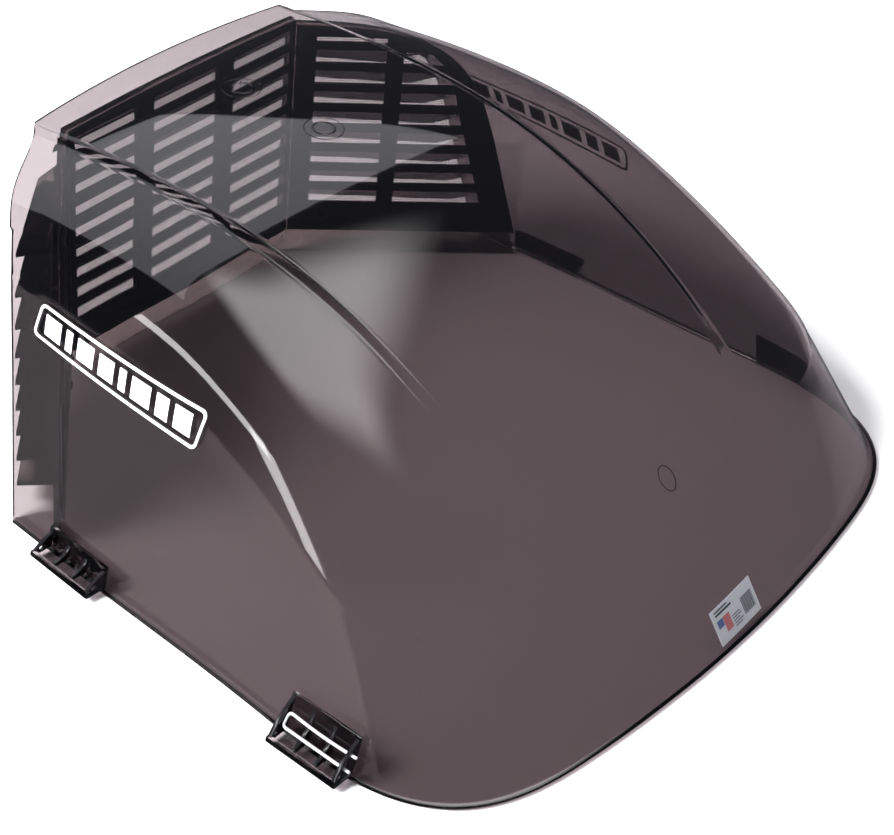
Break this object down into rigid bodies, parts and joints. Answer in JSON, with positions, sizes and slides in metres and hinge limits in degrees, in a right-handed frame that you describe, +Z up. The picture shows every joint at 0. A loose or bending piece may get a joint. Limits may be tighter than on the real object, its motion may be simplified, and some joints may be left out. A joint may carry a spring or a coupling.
{
  "type": "roof vent cover",
  "caption": "Smoke-tinted rain hood for a roof vent, with a louvred and screened rear and side clip housings.",
  "frame": {"origin": "centre of the bounding box at the plane of the bottom rim", "axes": "+Z up, the nose points to -Y and the louvred rear to +Y, +X is the right side seen from behind the nose looking to the rear"},
  "size_m": [0.5226, 0.496, 0.2023],
  "materials": {
    "smoke": "polished smoke tint",
    "black": "satin",
    "gauze": "woven fibreglass",
    "steel": "bright spring wire",
    "print": "white print",
    "label": "silver label"
  },
  "bodies": {
    "cover": {"hood_shell": "smoke", "louvre_panel_center": "smoke", "louvre_panel_left": "smoke", "louvre_panel_right": "smoke", "clip_housing_front_left": "smoke", "clip_housing_front_right": "smoke", "clip_housing_rear_left": "smoke", "clip_housing_rear_right": "smoke", "side_decal_left": "print", "side_decal_right": "print", "barcode_label": "label"},
    "screen_center": {"screen_frame_center": "black", "insect_mesh_center": "gauze", "screen_rivet_center_1": "black", "screen_rivet_center_2": "black"},
    "screen_left": {"screen_frame_left": "black", "insect_mesh_left": "gauze", "screen_rivet_left_1": "black", "screen_rivet_left_2": "black"},
    "screen_right": {"screen_frame_right": "black", "insect_mesh_right": "gauze", "screen_rivet_right_1": "black", "screen_rivet_right_2": "black"},
    "hairpin_left": {"hairpin_left": "steel"},
    "hairpin_right": {"hairpin_right": "steel"}
  },
  "joints": [
    {"name": "screen_center_pull", "type": "slide", "parent": "cover", "child": "screen_center", "axis": [0, -1, 0], "range_m": [0, 0.02]},
    {"name": "screen_left_pull", "type": "slide", "parent": "cover", "child": "screen_left", "axis": [0, -1, 0], "range_m": [0, 0.02]},
    {"name": "screen_right_pull", "type": "slide", "parent": "cover", "child": "screen_right", "axis": [0, -1, 0], "range_m": [0, 0.02]},
    {"name": "hairpin_left_pull", "type": "slide", "parent": "cover", "child": "hairpin_left", "axis": [-0.0141, -0.9999, 0], "range_m": [0, 0.052]},
    {"name": "hairpin_right_pull", "type": "slide", "parent": "cover", "child": "hairpin_right", "axis": [0.0141, -0.9999, 0], "range_m": [0, 0.052]}
  ]
}
